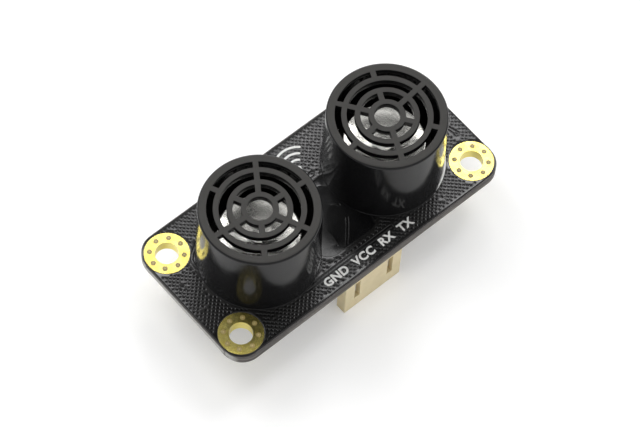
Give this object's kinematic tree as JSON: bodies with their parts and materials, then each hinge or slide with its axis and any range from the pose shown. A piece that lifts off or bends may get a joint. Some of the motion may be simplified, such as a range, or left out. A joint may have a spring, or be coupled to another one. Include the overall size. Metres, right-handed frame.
{
  "type": "ultrasonic distance sensor module",
  "caption": "Ultrasonic ranging sensor: a black circuit board with transmitter and receiver heads behind round slotted grilles, gold screw pads and a plug header underneath.",
  "frame": {"origin": "centre of the mounting-hole pattern, on the board's underside", "axes": "+X along the board from the transmitter head to the receiver head, +Z out of the board's face towards the grilles, and -Y towards the edge that the plug header stands at"},
  "size_m": [0.047, 0.022, 0.0207],
  "materials": {
    "solder_mask_black": "glossy black solder mask over hatched copper",
    "pad_gold": "bright gold plating",
    "head_plastic": "glossy black moulding with a satin grille",
    "base_phenolic": "matt dark base plate",
    "seat_silicone": "matt white silicone",
    "piezo_ceramic": "matt sintered ceramic",
    "vibrator_metal": "rolled sheet",
    "cone_aluminium": "bright spun aluminium",
    "tinned_metal": "tinned",
    "wire_copper": "enamelled copper",
    "solder": "bright solder",
    "header_plastic": "natural beige moulding",
    "package_epoxy": "matt moulded epoxy",
    "crystal_can": "nickel-plated can",
    "bulk_moulding": "ochre moulded case",
    "resistor_body": "glazed black film on ceramic",
    "capacitor_body": "tan fired ceramic"
  },
  "bodies": {
    "root": {"circuit_board": "solder_mask_black", "mount_pad_front_left": "pad_gold", "mount_pad_front_right": "pad_gold", "mount_pad_rear_left": "pad_gold", "mount_pad_rear_right": "pad_gold", "transmitter_housing": "head_plastic", "transmitter_base_plate": "base_phenolic", "transmitter_seat_ring": "seat_silicone", "transmitter_piezo_disc": "piezo_ceramic", "transmitter_vibrator_plate": "vibrator_metal", "transmitter_cone": "cone_aluminium", "transmitter_terminals": "tinned_metal", "transmitter_lead_wires": "wire_copper", "transmitter_solder_joints": "solder", "receiver_housing": "head_plastic", "receiver_base_plate": "base_phenolic", "receiver_seat_ring": "seat_silicone", "receiver_piezo_disc": "piezo_ceramic", "receiver_vibrator_plate": "vibrator_metal", "receiver_cone": "cone_aluminium", "receiver_terminals": "tinned_metal", "receiver_lead_wires": "wire_copper", "receiver_solder_joints": "solder", "header_housing": "header_plastic", "header_pin_1": "tinned_metal", "header_pin_2": "tinned_metal", "header_pin_3": "tinned_metal", "header_pin_4": "tinned_metal", "header_anchor_tabs": "tinned_metal", "microcontroller": "package_epoxy", "microcontroller_leads": "tinned_metal", "echo_amplifier": "package_epoxy", "echo_amplifier_leads": "tinned_metal", "burst_driver": "package_epoxy", "burst_driver_leads": "tinned_metal", "voltage_regulator": "package_epoxy", "voltage_regulator_leads": "tinned_metal", "crystal": "crystal_can", "bulk_capacitor": "bulk_moulding", "bulk_capacitor_terminals": "tinned_metal", "chip_resistors": "resistor_body", "chip_capacitors": "capacitor_body", "chip_end_caps": "solder", "solder_lands": "solder"}
  },
  "joints": []
}
